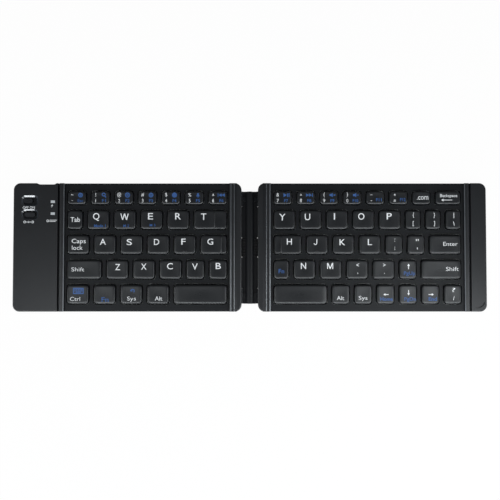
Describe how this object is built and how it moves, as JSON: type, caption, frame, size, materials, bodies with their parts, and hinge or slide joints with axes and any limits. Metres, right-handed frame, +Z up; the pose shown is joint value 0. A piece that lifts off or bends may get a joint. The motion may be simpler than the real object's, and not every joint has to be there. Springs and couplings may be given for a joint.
{
  "type": "folding keyboard",
  "caption": "Slim pocket keyboard in two keyed halves that fold shut on a central spine with two hinge axes, with a switch strip at the left end.",
  "frame": {"origin": "on the table under the middle of the spine, with the keyboard unfolded", "axes": "+X to the right end, +Y to the rear edge with the charging port, +Z up through the key tops"},
  "size_m": [0.3014, 0.082, 0.0084],
  "materials": {
    "case_plastic": "fine matte moulded ABS, near black",
    "cover_plastic": "matte moulded ABS underside, near black",
    "keycap_plastic": "matte moulded ABS caps with printed legends",
    "control_plastic": "satin black switch plastic",
    "spine_plastic": "satin black hinge plastic",
    "foot_rubber": "soft black rubber",
    "steel": "plain rolled steel",
    "screw_steel": "black zinc plated steel",
    "magnet_nickel": "nickel plated",
    "port_steel": "stainless steel shell",
    "membrane_film": "translucent polyester film",
    "silicone": "milky silicone",
    "link_plastic": "natural POM",
    "board": "green solder mask",
    "cell_pouch": "aluminium laminate pouch",
    "flex_film": "dark polyimide film",
    "lens_clear": "milky clear light pipe",
    "led": "moulded LED package",
    "legend_white": "white legends printed on the caps and the case",
    "legend_blue": "blue second legends printed on the caps"
  },
  "bodies": {
    "left_half": {"left_top_frame": "case_plastic", "left_bottom_cover": "cover_plastic", "left_support_plate": "steel", "left_membrane": "membrane_film", "left_scissor_links": "link_plastic", "left_domes": "silicone", "left_magnets": "magnet_nickel", "left_screws": "screw_steel", "left_feet": "foot_rubber", "left_hinge_pins": "steel", "left_flex_cable": "flex_film", "main_board": "board", "battery": "cell_pouch", "charging_port": "port_steel", "power_switch": "control_plastic", "connect_switch": "control_plastic", "status_leds": "led", "status_lenses": "lens_clear"},
    "spine": {"hinge_spine": "spine_plastic", "spine_cover": "spine_plastic", "spine_flex_cable": "flex_film"},
    "right_half": {"right_top_frame": "case_plastic", "right_bottom_cover": "cover_plastic", "right_support_plate": "steel", "right_membrane": "membrane_film", "right_scissor_links": "link_plastic", "right_domes": "silicone", "right_magnets": "magnet_nickel", "right_screws": "screw_steel", "right_feet": "foot_rubber", "right_hinge_pins": "steel", "right_flex_cable": "flex_film"},
    "power_slider": {"power_slider": "control_plastic"},
    "connect_button": {"connect_button": "control_plastic"},
    "keys_numbers_left": {"keys_numbers_left": "keycap_plastic"},
    "key_tab": {"key_tab": "keycap_plastic"},
    "keys_q_to_t": {"keys_q_to_t": "keycap_plastic"},
    "key_caps_lock": {"key_caps_lock": "keycap_plastic"},
    "keys_a_to_g": {"keys_a_to_g": "keycap_plastic"},
    "key_shift_left": {"key_shift_left": "keycap_plastic"},
    "keys_z_to_b": {"keys_z_to_b": "keycap_plastic"},
    "key_ctrl": {"key_ctrl": "keycap_plastic"},
    "key_fn_left": {"key_fn_left": "keycap_plastic"},
    "keys_system_alt_left": {"keys_system_alt_left": "keycap_plastic"},
    "key_space_left": {"key_space_left": "keycap_plastic"},
    "keys_numbers_right": {"keys_numbers_right": "keycap_plastic"},
    "key_domain": {"key_domain": "keycap_plastic"},
    "key_backspace": {"key_backspace": "keycap_plastic"},
    "keys_y_to_p": {"keys_y_to_p": "keycap_plastic"},
    "keys_brackets": {"keys_brackets": "keycap_plastic"},
    "keys_h_to_quote": {"keys_h_to_quote": "keycap_plastic"},
    "key_enter": {"key_enter": "keycap_plastic"},
    "key_fn_right": {"key_fn_right": "keycap_plastic"},
    "keys_n_to_period": {"keys_n_to_period": "keycap_plastic"},
    "key_up": {"key_up": "keycap_plastic"},
    "key_shift_right": {"key_shift_right": "keycap_plastic"},
    "key_space_right": {"key_space_right": "keycap_plastic"},
    "keys_alt_system_right": {"keys_alt_system_right": "keycap_plastic"},
    "keys_left_down_right": {"keys_left_down_right": "keycap_plastic"},
    "key_slash": {"key_slash": "keycap_plastic"}
  },
  "joints": [
    {"name": "fold_left", "type": "hinge", "parent": "left_half", "child": "spine", "pos_m": [-0.00525, 0, 0.0034], "axis": [0, -1, 0], "range_deg": [0, 90]},
    {"name": "fold_right", "type": "hinge", "parent": "spine", "child": "right_half", "pos_m": [0.00525, 0, 0.0034], "axis": [0, -1, 0], "range_deg": [0, 90]},
    {"name": "power_slide", "type": "slide", "parent": "left_half", "child": "power_slider", "axis": [1, 0, 0], "range_m": [0, 0.0022]},
    {"name": "connect_press", "type": "slide", "parent": "left_half", "child": "connect_button", "axis": [0, 0, 1], "range_m": [-0.0004, 0], "stiffness_N_per_m": 500, "springref_m": 0.0004},
    {"name": "press_numbers_left", "type": "slide", "parent": "left_half", "child": "keys_numbers_left", "axis": [0, 0, 1], "range_m": [-0.0015, 0], "stiffness_N_per_m": 300, "springref_m": 0.0008},
    {"name": "press_tab", "type": "slide", "parent": "left_half", "child": "key_tab", "axis": [0, 0, 1], "range_m": [-0.0015, 0], "stiffness_N_per_m": 300, "springref_m": 0.0008},
    {"name": "press_q_to_t", "type": "slide", "parent": "left_half", "child": "keys_q_to_t", "axis": [0, 0, 1], "range_m": [-0.0015, 0], "stiffness_N_per_m": 300, "springref_m": 0.0008},
    {"name": "press_caps_lock", "type": "slide", "parent": "left_half", "child": "key_caps_lock", "axis": [0, 0, 1], "range_m": [-0.0015, 0], "stiffness_N_per_m": 300, "springref_m": 0.0008},
    {"name": "press_a_to_g", "type": "slide", "parent": "left_half", "child": "keys_a_to_g", "axis": [0, 0, 1], "range_m": [-0.0015, 0], "stiffness_N_per_m": 300, "springref_m": 0.0008, "deforming": ["left_domes", "left_scissor_links"]},
    {"name": "press_shift_left", "type": "slide", "parent": "left_half", "child": "key_shift_left", "axis": [0, 0, 1], "range_m": [-0.0015, 0], "stiffness_N_per_m": 300, "springref_m": 0.0008},
    {"name": "press_z_to_b", "type": "slide", "parent": "left_half", "child": "keys_z_to_b", "axis": [0, 0, 1], "range_m": [-0.0015, 0], "stiffness_N_per_m": 300, "springref_m": 0.0008},
    {"name": "press_ctrl", "type": "slide", "parent": "left_half", "child": "key_ctrl", "axis": [0, 0, 1], "range_m": [-0.0015, 0], "stiffness_N_per_m": 300, "springref_m": 0.0008},
    {"name": "press_fn_left", "type": "slide", "parent": "left_half", "child": "key_fn_left", "axis": [0, 0, 1], "range_m": [-0.0015, 0], "stiffness_N_per_m": 300, "springref_m": 0.0008},
    {"name": "press_system_alt_left", "type": "slide", "parent": "left_half", "child": "keys_system_alt_left", "axis": [0, 0, 1], "range_m": [-0.0015, 0], "stiffness_N_per_m": 300, "springref_m": 0.0008},
    {"name": "press_space_left", "type": "slide", "parent": "left_half", "child": "key_space_left", "axis": [0, 0, 1], "range_m": [-0.0015, 0], "stiffness_N_per_m": 300, "springref_m": 0.0008},
    {"name": "press_numbers_right", "type": "slide", "parent": "right_half", "child": "keys_numbers_right", "axis": [0, 0, 1], "range_m": [-0.0015, 0], "stiffness_N_per_m": 300, "springref_m": 0.0008},
    {"name": "press_domain", "type": "slide", "parent": "right_half", "child": "key_domain", "axis": [0, 0, 1], "range_m": [-0.0015, 0], "stiffness_N_per_m": 300, "springref_m": 0.0008},
    {"name": "press_backspace", "type": "slide", "parent": "right_half", "child": "key_backspace", "axis": [0, 0, 1], "range_m": [-0.0015, 0], "stiffness_N_per_m": 300, "springref_m": 0.0008},
    {"name": "press_y_to_p", "type": "slide", "parent": "right_half", "child": "keys_y_to_p", "axis": [0, 0, 1], "range_m": [-0.0015, 0], "stiffness_N_per_m": 300, "springref_m": 0.0008},
    {"name": "press_brackets", "type": "slide", "parent": "right_half", "child": "keys_brackets", "axis": [0, 0, 1], "range_m": [-0.0015, 0], "stiffness_N_per_m": 300, "springref_m": 0.0008},
    {"name": "press_h_to_quote", "type": "slide", "parent": "right_half", "child": "keys_h_to_quote", "axis": [0, 0, 1], "range_m": [-0.0015, 0], "stiffness_N_per_m": 300, "springref_m": 0.0008, "deforming": ["right_domes", "right_scissor_links"]},
    {"name": "press_enter", "type": "slide", "parent": "right_half", "child": "key_enter", "axis": [0, 0, 1], "range_m": [-0.0015, 0], "stiffness_N_per_m": 300, "springref_m": 0.0008},
    {"name": "press_fn_right", "type": "slide", "parent": "right_half", "child": "key_fn_right", "axis": [0, 0, 1], "range_m": [-0.0015, 0], "stiffness_N_per_m": 300, "springref_m": 0.0008},
    {"name": "press_n_to_period", "type": "slide", "parent": "right_half", "child": "keys_n_to_period", "axis": [0, 0, 1], "range_m": [-0.0015, 0], "stiffness_N_per_m": 300, "springref_m": 0.0008},
    {"name": "press_up", "type": "slide", "parent": "right_half", "child": "key_up", "axis": [0, 0, 1], "range_m": [-0.0015, 0], "stiffness_N_per_m": 300, "springref_m": 0.0008},
    {"name": "press_shift_right", "type": "slide", "parent": "right_half", "child": "key_shift_right", "axis": [0, 0, 1], "range_m": [-0.0015, 0], "stiffness_N_per_m": 300, "springref_m": 0.0008},
    {"name": "press_space_right", "type": "slide", "parent": "right_half", "child": "key_space_right", "axis": [0, 0, 1], "range_m": [-0.0015, 0], "stiffness_N_per_m": 300, "springref_m": 0.0008},
    {"name": "press_alt_system_right", "type": "slide", "parent": "right_half", "child": "keys_alt_system_right", "axis": [0, 0, 1], "range_m": [-0.0015, 0], "stiffness_N_per_m": 300, "springref_m": 0.0008},
    {"name": "press_left_down_right", "type": "slide", "parent": "right_half", "child": "keys_left_down_right", "axis": [0, 0, 1], "range_m": [-0.0015, 0], "stiffness_N_per_m": 300, "springref_m": 0.0008},
    {"name": "press_slash", "type": "slide", "parent": "right_half", "child": "key_slash", "axis": [0, 0, 1], "range_m": [-0.0015, 0], "stiffness_N_per_m": 300, "springref_m": 0.0008}
  ]
}
